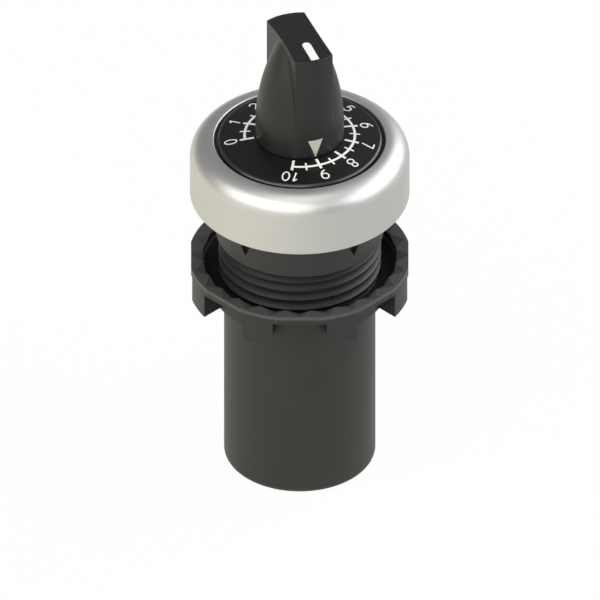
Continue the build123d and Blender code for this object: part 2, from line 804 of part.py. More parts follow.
with BuildPart() as terminal_screws:
    with BuildSketch(Plane.XY.offset(screw_seat_z)):
        for place in terminal_places.values():
            with Locations((place, 0)):
                Circle(screw_r)
    extrude(amount=screw_len)
    with BuildSketch(Plane.XY.offset(screw_seat_z)):
        for place in terminal_places.values():
            with Locations((place, 0)):
                Circle(screw_head_r)
    extrude(amount=-screw_head_h)
    with BuildSketch(Plane.XY.offset(screw_seat_z - screw_head_h)):
        Rectangle(2 * terminal_pitch + 4 * screw_head_r, screw_slot_w)
    extrude(amount=screw_slot_depth, mode=Mode.SUBTRACT)
write(terminal_screws, "terminal_screws")

# Leads from the lugs down to the terminals
lug_end_z = foot_z - lug_len
leg_end_z = base_front_z + leg_proud
lug_y = -lug_flat + lug_t / 2

for name in lug_places:
    top_place, low_place = lug_places[name], terminal_places[name]
    quarter = (lug_end_z - leg_end_z) / 4
    with BuildPart() as lead:
        with BuildLine() as route:
            FilletPolyline(
                (top_place, lug_y, lug_end_z),
                (top_place, lug_y, lug_end_z - quarter),
                (low_place, leg_y, leg_end_z + quarter),
                (low_place, leg_y, leg_end_z),
                radius=lead_bend,
            )
        with BuildSketch(Plane(origin=route.line @ 0, z_dir=route.line % 0)):
            Circle(lead_r)
        sweep()
    write(lead, f"lead_{name}")

# Mounting nut: eight claws below a flange, a recess that clears the collar, and a ring of
# saw teeth that bite the panel. The steep flanks face the way the nut would work loose.
with BuildPart() as slot_cutter:
    with BuildSketch(Plane.XY.offset(nut_end_z)):
        Rectangle(2 * nut_r, slot_w, align=(Align.MIN, Align.CENTER))
    extrude(amount=nut_h - flange_edge_t)
    with BuildSketch(Plane.XZ):
        with BuildLine():
            Polyline(
                (0, nut_end_z),
                (nut_hub_r, nut_end_z),
                (nut_hub_r, nut_top_z - flange_root_t),
                (nut_flat, nut_top_z - flange_edge_t),
                (0, nut_top_z - flange_edge_t),
                close=True,
            )
        make_face()
    revolve(axis=Axis.Z, mode=Mode.SUBTRACT)

tooth_lean = degrees(atan2(tooth_depth, nut_flat - recess_r))
with BuildPart() as tooth_cutter:
    with BuildSketch(
        Plane(
            origin=(recess_r, 0, nut_top_z - tooth_depth),
            x_dir=(0, 1, 0),
            z_dir=(cos(radians(tooth_lean)), 0, sin(radians(tooth_lean))),
        )
    ):
        with BuildLine():
            run = recess_r * radians(tooth_run)
            rise = recess_r * radians(tooth_rise)
            Polyline((0, 0), (2 * rise, 2 * tooth_depth), (-2 * run, 2 * tooth_depth), close=True)
        make_face()
    extrude(amount=nut_r - recess_r, both=True)

with BuildPart() as mounting_nut:
    with BuildSketch(Plane.XY.offset(nut_end_z)):
        Circle(nut_r)
        RegularPolygon(
            nut_flat, claw_count, major_radius=False, rotation=180 / claw_count, mode=Mode.INTERSECT
        )
        Circle(nut_bore_r, mode=Mode.SUBTRACT)
    extrude(amount=nut_h)
    with BuildSketch(Plane.XZ):
        with BuildLine():
            Polyline(
                (0, nut_top_z),
                (recess_r, nut_top_z),
                (recess_r, nut_top_z - recess_edge_depth),
                (nut_bore_r, nut_top_z - recess_depth),
                (0, nut_top_z - recess_depth),
                close=True,
            )
        make_face()
    revolve(axis=Axis.Z, mode=Mode.SUBTRACT)
    with PolarLocations(0, claw_count):
        add(slot_cutter.part, mode=Mode.SUBTRACT)
    with PolarLocations(0, tooth_count):
        add(tooth_cutter.part, mode=Mode.SUBTRACT)
write(mounting_nut, "mounting_nut")
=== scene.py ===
from math import atan2, cos, pi, radians, sin, sqrt, tan

import bmesh
import bpy
import numpy as np
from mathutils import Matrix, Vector


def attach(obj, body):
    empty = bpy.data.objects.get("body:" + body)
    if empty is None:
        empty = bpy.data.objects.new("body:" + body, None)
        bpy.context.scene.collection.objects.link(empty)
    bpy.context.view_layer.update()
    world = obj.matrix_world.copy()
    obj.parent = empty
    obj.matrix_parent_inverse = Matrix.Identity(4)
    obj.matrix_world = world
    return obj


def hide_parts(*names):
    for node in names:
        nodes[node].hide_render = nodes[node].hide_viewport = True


# Panel potentiometer, dressed on its CAD frame. Sizes in the dictionaries are millimetres: the
# origin is on the barrel's axis in the plane of the panel's front face, and +Z points to the knob.
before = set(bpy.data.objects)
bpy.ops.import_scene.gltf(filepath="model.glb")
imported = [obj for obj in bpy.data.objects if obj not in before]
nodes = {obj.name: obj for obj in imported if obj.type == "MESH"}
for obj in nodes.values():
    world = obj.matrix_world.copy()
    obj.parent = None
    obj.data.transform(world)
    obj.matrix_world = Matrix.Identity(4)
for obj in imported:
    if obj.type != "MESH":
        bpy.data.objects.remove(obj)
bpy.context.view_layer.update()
mm = 0.001
print("frame loaded:", len(nodes), "CAD nodes")


# Each grid is an array (row, column, xyz) in millimetres, and each of its cells is a quad. Points
# of all the grids that coincide are welded, which closes seams and poles, and faces are turned
# outwards.
def gridMesh(name, *grids, sharpAngle=32):
    points, faces, start = [], [], 0
    for grid in grids:
        rows, columns = grid.shape[:2]
        index = start + np.arange(rows * columns).reshape(rows, columns)
        cells = [index[:-1, :-1], index[:-1, 1:], index[1:, 1:], index[1:, :-1]]
        faces += np.stack(cells, -1).reshape(-1, 4).tolist()
        points.append(grid.reshape(-1, 3))
        start += rows * columns
    mesh = bpy.data.meshes.new(name)
    mesh.from_pydata((np.vstack(points) * mm).tolist(), [], faces)
    welded = bmesh.new()
    welded.from_mesh(mesh)
    bmesh.ops.remove_doubles(welded, verts=welded.verts, dist=2e-7)
    bmesh.ops.recalc_face_normals(welded, faces=welded.faces)
    welded.to_mesh(mesh)
    welded.free()
    mesh.shade_smooth()
    mesh.set_sharp_from_angle(angle=radians(sharpAngle))
    piece = bpy.data.objects.new(name, mesh)
    bpy.context.scene.collection.objects.link(piece)
    return piece


# The corners are (radius, height, rounding), in order round a closed section. A rounded corner is
# an arc tangent to both its sides, whose centre lies on their bisector at rounding / sin(half
# angle). One more point just past each end keeps the flat sides flat when they are shaded smooth.
def roundedSection(corners, steps=6, hold=0.03):
    section = []
    for i, (radius, height, rounding) in enumerate(corners):
        here = np.array([radius, height], float)
        if rounding == 0:
            section.append(here[None])
            continue
        before = np.array(corners[i - 1][:2]) - here
        after = np.array(corners[(i + 1) % len(corners)][:2]) - here
        before, after = before / np.linalg.norm(before), after / np.linalg.norm(after)
        half = np.arccos(before @ after) / 2
        bisector = (before + after) / np.linalg.norm(before + after)
        centre = here + bisector * rounding / sin(half)
        reach = rounding / np.tan(half)
        first = here + before * reach - centre
        last = here + after * reach - centre
        turn = (atan2(last[1], last[0]) - atan2(first[1], first[0]) + pi) % (2 * pi) - pi
        angle = atan2(first[1], first[0]) + turn * np.linspace(0, 1, steps + 1)
        arc = centre + rounding * np.stack([np.cos(angle), np.sin(angle)], -1)
        section.append(np.vstack([arc[:1] + before * hold, arc, arc[-1:] + after * hold]))
    section = np.vstack(section)
    return np.vstack([section, section[:1]])


# A section (radius, height) carried once round the axis: x = r cos a, y = r sin a, z = height.
def turnedGrid(section, segments=192):
    angle = np.linspace(0, 2 * pi, segments + 1)
    radius, height = section[:, :1], section[:, 1:]
    return np.stack([radius * np.cos(angle), radius * np.sin(angle), height + 0 * angle], -1)


# Between an upper and a lower grid of the same shape, walls along all four edges.
def slabGrids(upper, lower):
    sides = [np.stack([lower[edge], upper[edge]]) for edge in (0, -1)]
    sides += [np.stack([lower[:, edge], upper[:, edge]]) for edge in (0, -1)]
    return [upper, lower, *sides]


# A socket with arithmetic: an expression on values adds its Math nodes.
class Value:
    def __init__(self, finish, socket):
        self.finish, self.socket = finish, socket

    def maths(self, operation, first, second=0.0):
        return self.finish.maths(operation, first, second)

    def __add__(self, other):
        return self.maths("ADD", self, other)

    def __sub__(self, other):
        return self.maths("SUBTRACT", self, other)

    def __rsub__(self, other):
        return self.maths("SUBTRACT", other, self)

    def __mul__(self, other):
        return self.maths("MULTIPLY", self, other)

    def __truediv__(self, other):
        return self.maths("DIVIDE", self, other)

    def __rtruediv__(self, other):
        return self.maths("DIVIDE", other, self)

    __radd__, __rmul__ = __add__, __mul__


# One material. Its constants are set on the shader's own sockets, and what varies is linked.
class Finish:
    def __init__(self, name, **constants):
        self.material = bpy.data.materials.new(name)
        self.material.use_nodes = True
        self.tree = self.material.node_tree
        self.shader = self.tree.nodes["Principled BSDF"]
        for socket, setting in constants.items():
            self.shader.inputs[socket.replace("_", " ")].default_value = setting

    # adds a node: its settings first, then the values or links of its sockets; gives its outputs
    def node(self, kind, settings={}, inputs={}):
        made = self.tree.nodes.new(kind)
        for key, setting in settings.items():
            setattr(made, key, setting)
        for key, value in inputs.items():
            if isinstance(value, Value):
                self.tree.links.new(value.socket, made.inputs[key])
            else:
                made.inputs[key].default_value = value
        return {socket.name: Value(self, socket) for socket in made.outputs if socket.enabled}

    # one Math node on two numbers or values
    def maths(self, operation, first, second=0.0):
        return self.node("ShaderNodeMath", {"operation": operation}, {0: first, 1: second})["Value"]

    # joins a value to a socket of the shader
    def feed(self, socket, value):
        self.tree.links.new(value.socket, self.shader.inputs[socket])

    def place(self):
        return self.node("ShaderNodeTexCoord")["Object"]

    # distance from the axis in millimetres: sqrt(x^2 + y^2) / mm
    def radius(self):
        place = self.node("ShaderNodeSeparateXYZ", {}, {"Vector": self.place()})
        return self.maths("SQRT", place["X"] * place["X"] + place["Y"] * place["Y"]) / mm

    # height above the panel's face in millimetres
    def height(self):
        return self.node("ShaderNodeSeparateXYZ", {}, {"Vector": self.place()})["Z"] / mm

    # cloudy pattern, 0 to 1, whose spots are about size millimetres across; along each axis it is
    # as many times finer as stretch says
    def clouds(self, size, detail=2.0, roughness=0.5, stretch=None):
        vector = self.place()
        if stretch:
            drawn = self.node("ShaderNodeMapping", {}, {"Vector": vector, "Scale": stretch})
            vector = drawn["Vector"]
        return self.node(
            "ShaderNodeTexNoise",
            {"noise_dimensions": "3D"},
            {"Vector": vector, "Scale": 1 / (size * mm), "Detail": detail, "Roughness": roughness},
        )["Fac"]

    # a value moved from the range fromLow to fromHigh to the range low to high, and held in it
    def between(self, value, low, high, fromLow=0.3, fromHigh=0.7):
        ends = {"From Min": fromLow, "From Max": fromHigh, "To Min": low, "To Max": high}
        return self.node("ShaderNodeMapRange", {"clamp": True}, {"Value": value, **ends})["Result"]

    # two colours mixed by a factor; a Mix node's sockets 6 and 7 are its colours
    def blend(self, factor, first, second):
        mixed = {0: factor, 6: first, 7: second}
        return self.node("ShaderNodeMix", {"data_type": "RGBA"}, mixed)["Result"]

    # a height in millimetres as a bump on the shader's normal, over edges rounded by edge
    def relief(self, height, strength=1.0, edge=0):
        inputs = {"Height": height, "Distance": mm, "Strength": strength}
        if edge:
            rounded = self.node("ShaderNodeBevel", {"samples": 6}, {"Radius": edge * mm})
            inputs["Normal"] = rounded["Normal"]
        self.feed("Normal", self.node("ShaderNodeBump", {}, inputs)["Normal"])


# a colour with full alpha
def rgb(*parts):
    return (*parts, 1.0)


# Moulded plastic: a base colour with slow clouding, up to lift times as light, fine grain that
# scatters the gloss, and a bump of the same grain. The grain's size and height are millimetres.
def mouldedPlastic(name, colour, lift, roughness, grain=0.12, height=0.004, edge=0, specular=0.5):
    finish = Finish(name, Specular_IOR_Level=specular, IOR=1.5)
    slow = finish.clouds(6.0, 3.0)
    fine = finish.clouds(grain, 3.0, 0.6)
    lighter = rgb(*[part * lift for part in colour])
    tone = finish.between(slow * 0.6 + fine * 0.4, 0.0, 1.0)
    finish.feed("Base Color", finish.blend(tone, rgb(*colour), lighter))
    finish.feed("Roughness", finish.between(fine, roughness - 0.05, roughness + 0.07))
    finish.relief(fine * height, 1.0, edge)
    return finish.material


# Metal: the colour drifts slowly towards a darker one, and fine scratches, drawn out along the
# axes where stretch is small, roughen it and mark its surface.
def wornMetal(name, colour, dark, roughness, stretch=(1, 1, 12), scratch=0.05):
    finish = Finish(name, Metallic=1.0)
    drift = finish.clouds(2.0, 3.0)
    lines = finish.clouds(scratch, 2.0, 0.6, stretch)
    finish.feed("Base Color", finish.blend(finish.between(drift, 0, 1), rgb(*colour), rgb(*dark)))
    wear = lines * 0.6 + drift * 0.4
    finish.feed("Roughness", finish.between(wear, roughness - 0.08, roughness + 0.1))
    finish.relief(lines * 0.002, 1.0, 0.03)
    return finish.material


# Puts a piece on its body, gives it its finish and hides the CAD nodes that it stands for.
def dress(piece, body, slot, finish, *replaced):
    piece.data.materials.clear()
    piece.data.materials.append(finish)
    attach(piece, body)
    if replaced:
        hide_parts(*replaced)
    return piece


# gives a CAD node its finish
def repaint(finish, *names):
    for name in names:
        nodes[name].data.materials.clear()
        nodes[name].data.materials.append(finish)


# Camera: parallel projection, an eighth turn from the front and at the isometric height
view = {
    "azimuth": 45.0, "elevation": 35.264, "pixels": 600, "pixelsPerMm": 7.55, "centreZ": -17.55,
    "sideways": 0.035, "distance": 0.5,
}
away, up = radians(view["azimuth"]), radians(view["elevation"])
backward = Vector((sin(away) * cos(up), -cos(away) * cos(up), sin(up)))
rightward = Vector((cos(away), sin(away), 0))
camera = bpy.data.objects.new("camera", bpy.data.cameras.new("camera"))
camera.data.type = "ORTHO"
camera.data.ortho_scale = view["pixels"] / view["pixelsPerMm"] * mm
camera.data.clip_start, camera.data.clip_end = 0.01, 5.0
camera.rotation_mode = "QUATERNION"
camera.rotation_quaternion = (-backward).to_track_quat("-Z", "Y")
target = Vector((0, 0, view["centreZ"] * mm)) + rightward * view["sideways"] * mm
camera.location = target + backward * view["distance"]
bpy.context.scene.collection.objects.link(camera)
bpy.context.scene.camera = camera
print("camera placed")


# Bezel ring: straight wall, wide round shoulder, and a top that falls outwards from the lip
bezel = {
    "radius": 14.55, "top": 8.6, "fall": 3.0, "shoulder": 2.87, "lip": 11.35, "lipRound": 0.2,
    "foot": 0.25, "throat": 6.0, "recessR": 12.35, "recessTop": 4.9, "socketR": 13.45,
    "socketTop": 3.3, "innerFoot": 0.15,
}
shoulderTop = bezel["top"] - (bezel["radius"] - bezel["lip"]) * tan(radians(bezel["fall"]))


# the ring's satin silver: two close tones in slow clouds, under a fine even grain
def satinSilver():
    finish = Finish("satinSilver", Metallic=0.9)
    slow, fine = finish.clouds(7.0, 2.0), finish.clouds(0.07, 2.0)
    finish.feed("Base Color", finish.blend(slow, rgb(0.66, 0.655, 0.625), rgb(0.70, 0.695, 0.665)))
    finish.feed("Roughness", finish.between(fine, 0.37, 0.45))
    finish.relief(fine * 0.0012)
    return finish.material


section = roundedSection(
    [
        (bezel["radius"], 0, bezel["foot"]),
        (bezel["radius"], shoulderTop, bezel["shoulder"]),
        (bezel["lip"], bezel["top"], bezel["lipRound"]),
        (bezel["lip"], bezel["throat"], 0),
        (bezel["recessR"], bezel["recessTop"], 0),
        (bezel["recessR"], bezel["socketTop"], 0),
        (bezel["socketR"], bezel["socketTop"], 0),
        (bezel["socketR"], 0, bezel["innerFoot"]),
    ],
    steps=24,
)
piece = gridMesh("bezelRing", turnedGrid(section, 256))
dress(piece, "housing", "bezel_satin", satinSilver(), "bezel_ring")
print("bezel ring made")


# Dial plate: flat underneath, a shallow dome on top, with the scale printed on it
dial = {
    "radius": 10.95, "bore": 4.9, "seat": 7.75, "edge": 8.64, "rise": 1.01, "rounding": 0.38,
    "sweep": 285.0, "steps": 10,
}
domeRadius = (dial["radius"] ** 2 + dial["rise"] ** 2) / (2 * dial["rise"])


# height of the dome: a sphere of domeRadius whose rim lies at the dial's edge
def domeHeight(radius):
    return dial["edge"] + dial["rise"] - domeRadius + np.sqrt(domeRadius**2 - radius**2)


rimArc = np.radians(np.linspace(0, 84, 9))  # from the rim's side to just short of its top
rimRound = np.stack(
    [
        dial["radius"] - dial["rounding"] * (1 - np.cos(rimArc)),
        domeHeight(dial["radius"] - dial["rounding"]) - dial["rounding"] * (1 - np.sin(rimArc)),
    ],
    -1,
)
crownR = np.linspace(dial["radius"] - dial["rounding"] - 0.03, dial["bore"], 24)
section = np.vstack(
    [
        [[dial["bore"], dial["seat"]], [dial["radius"], dial["seat"]]],
        rimRound,
        np.stack([crownR, domeHeight(crownR)], -1),
        [[dial["bore"], dial["seat"]]],
    ]
)


# the dial's black paint, coated on its rounded rim, where a paler colour is a painted highlight
def dialPaint():
    finish = Finish("dialBlack", Specular_IOR_Level=0.4, IOR=1.5, Coat_Roughness=0.2, Coat_IOR=1.6)
    fine = finish.clouds(0.06, 3.0, 0.6)
    face = finish.blend(fine, rgb(0.0055, 0.0055, 0.0053), rgb(0.0080, 0.0080, 0.0077))
    rimStart = dial["radius"] - dial["rounding"]
    rim = finish.between(finish.radius(), 0, 1, rimStart - 0.02, rimStart + 0.06)
    # painted highlight: the rounded rim is paler than the face
    finish.feed("Base Color", finish.blend(rim, face, rgb(0.016, 0.016, 0.015)))
    finish.feed("Coat Weight", rim * 0.8)
    finish.feed("Roughness", finish.between(fine, 0.29, 0.38))
    finish.relief(fine * 0.0012)
    return finish.material


piece = gridMesh("dialPlate", turnedGrid(section, 256))
dress(piece, "housing", "dial_black", dialPaint(), "dial_plate")

# The print: strokes of ink for the arc, the ticks and the figures of the scale
ink = {
    "lift": 0.012, "depth": 0.05, "arcR": 7.31, "arcW": 0.34, "digitMid": 9.22, "digitH": 1.58,
    "digitW": 0.195, "tickW": 0.36, "halfW": 0.24, "majorR": 6.1, "halfR": 6.6, "tickEnd": 8.0,
    "advance": 0.80, "figureW": 0.62,
}


# one stroke: a path in the dial's plane carried along as a flat ribbon that follows the dome. Its
# edges are width / 2 to either side of the path, its top is lift above the dome and its underside
# depth below the top. The two ends of an open path are closed.
def inkStroke(path, width):
    path = np.asarray(path, float)
    ahead = np.gradient(path, axis=0)
    if np.allclose(path[0], path[-1]):
        ahead[0] = ahead[-1] = path[1] - path[-2]
    ahead /= np.linalg.norm(ahead, axis=1)[:, None]
    side = np.stack([-ahead[:, 1], ahead[:, 0]], -1) * width / 2
    rows = []
    for offset, drop in ((1, 0), (-1, 0), (-1, 1), (1, 1), (1, 0)):
        flat = path + offset * side
        height = domeHeight(np.linalg.norm(flat, axis=1)) + ink["lift"] - drop * ink["depth"]
        rows.append(np.column_stack([flat, height]))
    grid = np.stack(rows, 1)
    if not np.allclose(path[0], path[-1]):
        ends = [np.broadcast_to(grid[end, :4].mean(0), grid[:1].shape) for end in (0, -1)]
        grid = np.concatenate([ends[0], grid, ends[1]])
    return grid


# a straight path from corner to corner, each stretch cut into steps
def line(*corners, steps=6):
    corners = np.array(corners, float)
    walk = np.linspace(0, len(corners) - 1, (len(corners) - 1) * steps + 1)
    return np.stack([np.interp(walk, range(len(corners)), corners[:, i]) for i in (0, 1)], -1)


# part of an ellipse: x + rx cos a, y + ry sin a, for a from first to last degrees
def arc(x, y, rx, ry, first, last, steps=28):
    angle = np.radians(np.linspace(first, last, steps + 1))
    return np.stack([x + rx * np.cos(angle), y + ry * np.sin(angle)], -1)


# each figure as strokes in a box 0.62 wide and 1 high
figures = {
    "0": [arc(0.31, 0.5, 0.29, 0.5, 0, 360)],
    "1": [line((0.30, 0), (0.44, 1)), line((0.44, 1), (0.16, 0.77))],
    "2": [np.vstack([arc(0.31, 0.71, 0.28, 0.29, 170, -30), line((0.5, 0.52), (0.02, 0))]),
          line((0.0, 0), (0.62, 0))],
    "3": [arc(0.30, 0.75, 0.25, 0.25, 155, -90), arc(0.30, 0.26, 0.30, 0.26, 90, -155)],
    "4": [line((0.46, 0), (0.46, 1)), line((0.46, 1), (0.0, 0.3)), line((0.0, 0.3), (0.64, 0.3))],
    "5": [line((0.56, 1), (0.12, 1)), line((0.12, 1), (0.06, 0.52)),
          arc(0.29, 0.32, 0.31, 0.32, 140, -150)],
    "6": [arc(0.31, 0.31, 0.30, 0.31, 0, 360), arc(0.60, 0.33, 0.59, 0.67, 178, 100)],
    "7": [line((0.02, 1), (0.62, 1)), line((0.62, 1), (0.22, 0))],
    "8": [arc(0.31, 0.76, 0.24, 0.24, 0, 360), arc(0.31, 0.27, 0.30, 0.27, 0, 360)],
    "9": [arc(0.31, 0.69, 0.30, 0.31, 0, 360), arc(0.02, 0.67, 0.59, 0.67, -2, -80)],
}


# angle of a scale value: 0 at the start, rising clockwise, with the middle at +Y
def scaleAngle(value):
    return radians(90 + dial["sweep"] * (0.5 - value / dial["steps"]))


firstAngle, lastAngle = np.degrees(scaleAngle(0)), np.degrees(scaleAngle(dial["steps"]))
strokes = [inkStroke(arc(0, 0, ink["arcR"], ink["arcR"], firstAngle, lastAngle, 220), ink["arcW"])]
for half in range(2 * dial["steps"] + 1):
    angle = scaleAngle(half / 2)
    outward = np.array([cos(angle), sin(angle)])
    start, width = (ink["majorR"], ink["tickW"]) if half % 2 == 0 else (ink["halfR"], ink["halfW"])
    strokes.append(inkStroke(line(outward * start, outward * ink["tickEnd"]), width))
for value in range(dial["steps"] + 1):
    angle = scaleAngle(value)
    outward = np.array([cos(angle), sin(angle)])
    clockwise = np.array([sin(angle), -cos(angle)])
    text = str(value)
    width = ink["figureW"] + ink["advance"] * (len(text) - 1)
    for place, letter in enumerate(text):
        for path in figures[letter]:
            across = (path[:, :1] + place * ink["advance"] - width / 2) * ink["digitH"]
            along = (path[:, 1:] - 0.5) * ink["digitH"] + ink["digitMid"]
            strokes.append(inkStroke(across * clockwise + along * outward, ink["digitW"]))
inkWhite = mouldedPlastic("inkWhite", (0.90, 0.90, 0.84), 1.05, 0.5, grain=0.08, height=0.0015)
dress(gridMesh("dialScale", *strokes), "housing", "inlay_white", inkWhite)
print("dial and its scale made")


# Knob: a turned body whose two flanks are scooped away, leaving a blade that points at the scale
knob = {
    "radius": 5.87, "rim": 9.492, "top": 25.29, "skirt": 2.7, "flankR": 30.0, "lean": 2.0,
    "bladeHalf": 2.69, "waist": 0.16, "crownR": 58.0, "edge": 0.13, "blend": 0.7, "fade": 9.0,
    "corner": 0.1, "hub": 4.6, "hubEnd": 1.5, "bore": 3.05, "flatStart": 7.0, "flat": 2.0,
    "boreEnd": 17.05, "hollow": 0.45, "skirtWall": 0.47, "rimRound": 0.08, "columns": 420,
    "figure": 9,
}
knobTurn = scaleAngle(knob["figure"])


# the flank's radius at a height: straight skirt, then an arc of radius flankR that starts leaning
def flankRadius(height):
    lean = radians(knob["lean"])
    centreR = knob["radius"] - knob["flankR"] * cos(lean)
    centreZ = knob["rim"] + knob["skirt"] - knob["flankR"] * sin(lean)
    above = np.maximum(height, knob["rim"] + knob["skirt"])
    return centreR + np.sqrt(knob["flankR"] ** 2 - (above - centreZ) ** 2)


# the larger of two lengths, eased where they differ by less than reach: max + reach * t^2 / 4,
# with t falling from 1 to 0 as they part
def easedMax(first, second, reach):
    t = np.clip(reach - np.abs(first - second), 0, None) / reach
    return np.maximum(first, second) + reach * t**2 / 4


# distance from the axis to the knob's wall at an angle from the pointer and a height: the flank or
# the blade, whichever stands further out. The blade's side is y = half(x), slightly waisted. The
# hollow between them is softer at the foot: its reach falls off over fade millimetres to the top.
# The side needs x and x needs the side, so they are worked out in turn four times.
def knobWall(angle, height):
    endX = sqrt(knob["radius"] ** 2 - knob["bladeHalf"] ** 2)
    thin = knob["bladeHalf"] - knob["waist"]
    waistR = (endX**2 + knob["waist"] ** 2) / (2 * knob["waist"])
    slope = np.maximum(np.abs(np.sin(angle)), 1e-3)
    side = thin / slope
    for _ in range(4):
        reach = np.minimum(side * np.abs(np.cos(angle)), 1.4 * knob["radius"])
        side = (thin + waistR - np.sqrt(waistR**2 - reach**2)) / slope
    blade = -easedMax(-side, -knob["radius"] + 0 * side, knob["corner"])
    reach = knob["blend"] * np.clip((knob["top"] - height) / knob["fade"], 0.1, 1)
    wall = easedMax(flankRadius(height), blade, reach)
    return np.minimum(wall, knob["radius"])


# height of the crowned top: a cylinder of crownR across the pointer's direction
def crownHeight(x):
    return knob["top"] - knob["crownR"] + np.sqrt(knob["crownR"] ** 2 - x**2)


# columns stand up to 8 times closer together round the blade's four corners
fine = np.linspace(0, 2 * pi, 7201)
cornerAngle = atan2(knob["bladeHalf"], sqrt(knob["radius"] ** 2 - knob["bladeHalf"] ** 2))
corners = (cornerAngle, pi - cornerAngle, pi + cornerAngle, 2 * pi - cornerAngle)
crowd = 1 + sum(7 * np.exp(-(((fine - corner) / 0.05) ** 2)) for corner in corners)
crowd = np.cumsum(crowd) - crowd[0]
angle = np.interp(np.linspace(0, crowd[-1], knob["columns"] + 1), crowd, fine)

# the top's edge, where the wall meets the crown: its radius and height in turn, four times
edgeZ = np.full_like(angle, knob["top"])
for _ in range(4):
    edgeR = knobWall(angle, edgeZ)
    edgeZ = crownHeight(edgeR * np.cos(angle)) - knob["edge"]

# rows, from the bore's end down the bore, round the hub and the hollow skirt, up the wall and
# over the top's edge to its middle
rows = []


# one row round the knob, from the radius and the height of each column
def roundRow(radius, height):
    rows.append(np.stack([radius * np.cos(angle), radius * np.sin(angle), height + 0 * angle], -1))


bottom = knob["rim"] + 1.5 * knob["rimRound"]
flatBore = np.minimum(knob["bore"], knob["flat"] / np.maximum(np.sin(angle), 1e-3))
flatBore = np.where(np.sin(angle) > 0, flatBore, knob["bore"])
roundRow(0 * angle, knob["boreEnd"])
roundRow(flatBore, knob["boreEnd"])
roundRow(flatBore, knob["flatStart"])
for radius, height in (
    (knob["bore"], knob["flatStart"]),
    (knob["bore"], knob["hubEnd"]),
    (knob["hub"], knob["hubEnd"]),
    (knob["hub"], knob["rim"] + knob["hollow"]),
    (knob["radius"] - knob["skirtWall"], knob["rim"] + knob["hollow"]),
    (knob["radius"] - knob["skirtWall"], knob["rim"]),
    (knob["radius"] - knob["rimRound"], knob["rim"]),
    (knob["radius"] - knob["rimRound"] / 4, knob["rim"] + knob["rimRound"] / 4),
    (knob["radius"], knob["rim"] + knob["rimRound"]),
    (knob["radius"], bottom),
):
    roundRow(radius + 0 * angle, height)
for share in np.concatenate([np.linspace(0, 0.17, 6)[1:], np.linspace(0.17, 0.99, 60)[1:], [1.0]]):
    height = bottom + share * (edgeZ - bottom)
    roundRow(knobWall(angle, height), height)

# the top's rounded edge: where the wall runs slantwise to the axis, the inset along the radius
# grows by sqrt(1 + (slope / radius)^2), held to 2.4 at the blade's corners
wallSlope = np.gradient(edgeR, angle)
inset = np.minimum(np.sqrt(1 + (wallSlope / edgeR) ** 2), 2.4)
for turn in np.radians(np.linspace(0, 90, 7))[1:]:
    radius = edgeR - knob["edge"] * (1 - cos(turn)) * inset
    height = crownHeight(radius * np.cos(angle)) - knob["edge"] * (1 - sin(turn))
    roundRow(radius, height)
capR = edgeR - knob["edge"] * inset
for share in np.concatenate([[0.985, 0.96], np.linspace(0.9, 0.0, 12)]):
    roundRow(capR * share, crownHeight(capR * share * np.cos(angle)))


# turns points drawn with the pointer along +X to the figure on the scale
def toFigure(grid):
    x, y, z = np.moveaxis(grid, -1, 0)
    c, s = cos(knobTurn), sin(knobTurn)
    return np.stack([x * c - y * s, x * s + y * c, z], -1)


knobCharcoal = mouldedPlastic(
    "knobCharcoal", (0.0095, 0.0092, 0.0083), 1.35, 0.40, grain=0.09, height=0.003
)
piece = gridMesh("knobBody", toFigure(np.stack(rows)), sharpAngle=40)
dress(piece, "knob", "knob_plastic", knobCharcoal, "knob")

# white line let into the top: a strip with a round inner end, stopping just short of the front
inlay = {
    "width": 1.13, "length": 4.18, "lift": 0.012, "depth": 0.25, "stop": 0.22, "straightTo": 4.5,
    "aside": 0.1,
}
innerX = knob["radius"] - inlay["length"]
frontX = knob["radius"] - knob["edge"] - inlay["stop"]
walk = np.concatenate([
    innerX + inlay["width"] / 2 * (1 - np.cos(np.linspace(0, pi / 2, 24))),
    np.linspace(innerX + inlay["width"] / 2, frontX, 16)[1:],
])
halfW = np.where(
    walk < innerX + inlay["width"] / 2,
    np.sqrt(np.maximum((inlay["width"] / 2) ** 2 - (innerX + inlay["width"] / 2 - walk) ** 2, 0)),
    inlay["width"] / 2,
)
across = np.linspace(-1, 1, 17)
y = halfW[:, None] * across
x = walk[:, None] + 0 * y
x = x + (np.sqrt(knob["radius"] ** 2 - y**2) - knob["radius"]) * np.clip(
    (x - inlay["straightTo"]) / (frontX - inlay["straightTo"]), 0, 1
)
upper = np.stack([x, y + inlay["aside"], crownHeight(x) + inlay["lift"]], -1)
lower = upper - np.array([0, 0, inlay["depth"]])
lineWhite = mouldedPlastic("lineWhite", (0.93, 0.94, 0.86), 1.04, 0.42, grain=0.1, height=0.002)
piece = gridMesh("knobLine", *[toFigure(grid) for grid in slabGrids(upper, lower)])
dress(piece, "knob", "inlay_white", lineWhite, "knob_inlay_line")

# triangle at the blade's foot, tip down, following the round wall
mark = {"width": 2.04, "height": 2.7, "lift": 0.012, "depth": 0.2, "foot": 0.05}
share = np.linspace(0, 1, 10)[:, None]
y = share * np.linspace(-1, 1, 13) * mark["width"] / 2
z = knob["rim"] + mark["foot"] + share * mark["height"] + 0 * y
upper = np.stack([np.sqrt((knob["radius"] + mark["lift"]) ** 2 - y**2), y, z], -1)
lower = upper - np.array([mark["depth"], 0, 0])
markCream = mouldedPlastic("markCream", (0.50, 0.495, 0.42), 1.08, 0.5, grain=0.1, height=0.002)
piece = gridMesh("knobMark", *[toFigure(grid) for grid in slabGrids(upper, lower)])
dress(piece, "knob", "mark_cream", markCream, "knob_inlay_mark")
print("knob made")


